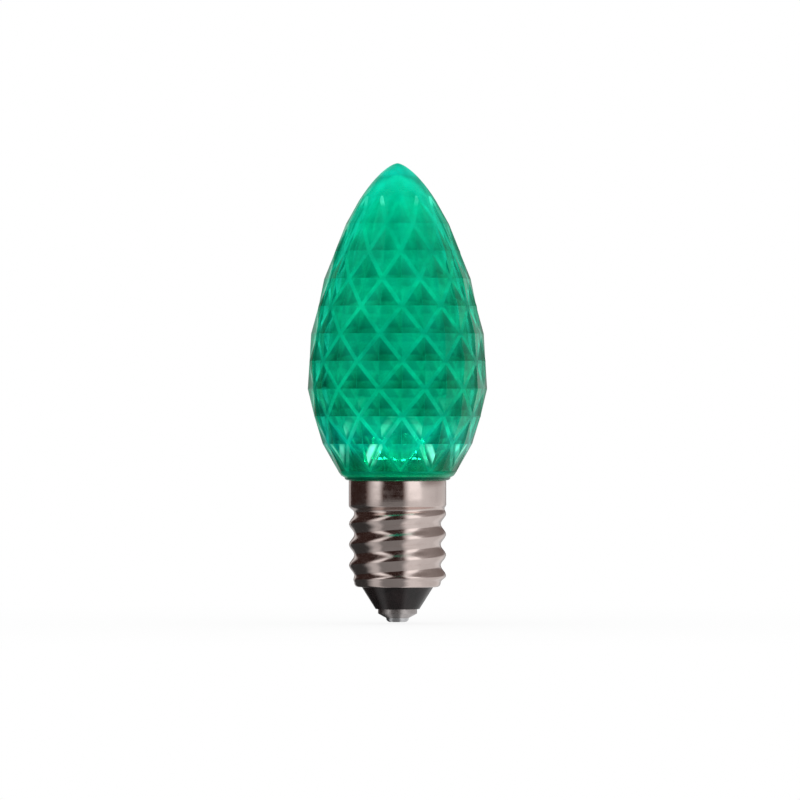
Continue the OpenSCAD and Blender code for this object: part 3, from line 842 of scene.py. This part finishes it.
def make_led_insides(number, frame_material, glow_material):
    """The lead frame with its cup, the die and the bond wire inside an LED."""
    angle = math.radians(LED_TURN + (number - 1) * LED_SPREAD)

    def place(out, across, z):
        r = LED_CIRCLE_R + out
        x = r * math.cos(angle) - across * math.sin(angle)
        y = r * math.sin(angle) + across * math.cos(angle)
        return Vector((x, y, z)) * MM

    bm = bmesh.new()
    sheet(bm, place, ANVIL, LED_SHEET)
    sheet(bm, place, POST, LED_SHEET)
    turned(bm, place, CUP)
    bond_wire(bm, place)
    bmesh.ops.recalc_face_normals(bm, faces=bm.faces)
    ride_along(f"led_{number}_frame", bm, frame_material)
    bm = bmesh.new()
    turned(bm, place, DIE)
    bmesh.ops.recalc_face_normals(bm, faces=bm.faces)
    ride_along(f"led_{number}_die", bm, glow_material)


def dress_cad_nodes():
    """Gives each CAD node that stays its own material, and each LED its insides."""
    coats = {name: coat_material(name, *values) for name, values in COATS.items()}
    looks = {node: coats[name] for node, name in NODE_COATS.items()}
    lit, die, wire = led_material(), die_material(), coats["tinned_wire"]
    for number in LEDS:
        make_led_insides(number, wire, die)
        looks[f"led_{number}"] = lit
        looks[f"led_leads_{number}"] = wire
    for name, mat in looks.items():
        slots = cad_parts[name].data.materials
        slots.clear()
        slots.append(mat)


def make_camera():
    data = bpy.data.cameras.new("camera")
    data.sensor_width = SENSOR_MM
    data.lens = SENSOR_MM * CAMERA_DISTANCE / (PHOTO_PX * MM_PER_PX * MM)
    camera = bpy.data.objects.new("camera", data)
    bpy.context.scene.collection.objects.link(camera)
    x = (PHOTO_PX / 2 - AXIS_X_PX) * MM_PER_PX * MM
    z = (CONTACT_Y_PX - PHOTO_PX / 2) * MM_PER_PX * MM
    camera.location = (x, -CAMERA_DISTANCE, z)
    camera.rotation_euler = (math.radians(90), 0, 0)
    bpy.context.scene.camera = camera


def brightness(nodes, share, stops):
    """Brightness by a share from 0 to 1."""
    table = [(at, value / STUDIO_SCALE) for at, value in stops]
    return nodes.calc("MULTIPLY", nodes.ramp(share, table), STUDIO_SCALE)


def by_height(nodes, z, heights):
    """Brightness by the height of the direction, from -1 to 1."""
    share = nodes.mapped(z, -1, 1, 0, 1)
    return brightness(nodes, share, [((h + 1) / 2, value) for h, value in heights])


def around(nodes, x, y, panels):
    """Brightness of the panels in the direction of x and y."""
    turn = nodes.calc("ARCTAN2", x, nodes.calc("MULTIPLY", y, -1))
    share = nodes.mapped(turn, -math.pi, math.pi, 0, 1)
    return brightness(nodes, share, [((a + 180) / 360, value) for a, value in panels])


def floor_material():
    """Pale to the camera and white further out; metal sees the studio panels mirrored in it."""
    mat = bpy.data.materials.new("pale_floor")
    mat.use_nodes = True
    nodes = Nodes(mat.node_tree)
    place = nodes.add("ShaderNodeTexCoord").outputs["Object"]
    length = nodes.add("ShaderNodeVectorMath", operation="LENGTH")
    nodes.link(place, length.inputs[0])
    path = nodes.add("ShaderNodeLightPath").outputs
    matte = nodes.add("ShaderNodeBsdfDiffuse")
    matte.inputs["Color"].default_value = FLOOR_GREY
    white = nodes.add("ShaderNodeEmission")
    far = nodes.mapped(length.outputs["Value"], *FLOOR_FADE)
    whitened = nodes.calc("MULTIPLY", path["Is Camera Ray"], far)
    seen = nodes.mixed_shader(whitened, matte, white)
    mirror = nodes.add("ShaderNodeEmission")
    x, y, _ = nodes.split(place)
    nodes.link(around(nodes, x, y, FLOOR_STUDIO), mirror.inputs["Strength"])
    both = nodes.mixed_shader(path["Is Glossy Ray"], seen, mirror)
    out = nodes.add("ShaderNodeOutputMaterial")
    nodes.link(both.outputs[0], out.inputs["Surface"])
    return mat


def make_floor():
    """Pale floor that fades into the white background."""
    bm = bmesh.new()
    bmesh.ops.create_circle(bm, cap_ends=True, segments=FLOOR_SIDES, radius=FLOOR_R)
    floor = mesh_object("floor", bm, floor_material())
    floor.location.z = -FLOOR_DROP


def make_world():
    """White to the camera, soft light for the object, and panels for what metal mirrors."""
    world = bpy.data.worlds.new("studio")
    bpy.context.scene.world = world
    world.use_nodes = True
    nodes = Nodes(world.node_tree)
    x, y, z = nodes.split(nodes.add("ShaderNodeTexCoord").outputs["Generated"])
    low, high = around(nodes, x, y, STUDIO), around(nodes, x, y, HIGH_STUDIO)
    panels = nodes.mixed(nodes.mapped(z, *HIGH_SHARE), low, high)
    panels = nodes.calc("MULTIPLY", panels, by_height(nodes, z, STUDIO_HEIGHTS))
    path = nodes.add("ShaderNodeLightPath").outputs
    light = nodes.mixed(path["Is Glossy Ray"], 1.0, panels)
    backdrop = by_height(nodes, z, BACKDROP_HEIGHTS)
    light = nodes.mixed(path["Is Transmission Ray"], light, backdrop)
    light = nodes.mixed(path["Is Camera Ray"], light, 1.0)
    background = nodes.add("ShaderNodeBackground")
    nodes.link(nodes.ramp(light, STUDIO_TINT), background.inputs["Color"])
    nodes.link(light, background.inputs["Strength"])
    out = nodes.add("ShaderNodeOutputWorld")
    nodes.link(background.outputs[0], out.inputs["Surface"])


bpy.context.scene.view_settings.view_transform = "Standard"
make_camera()
make_floor()
make_world()
make_lens(lens_material())
make_shell(nickel_material())
dress_cad_nodes()
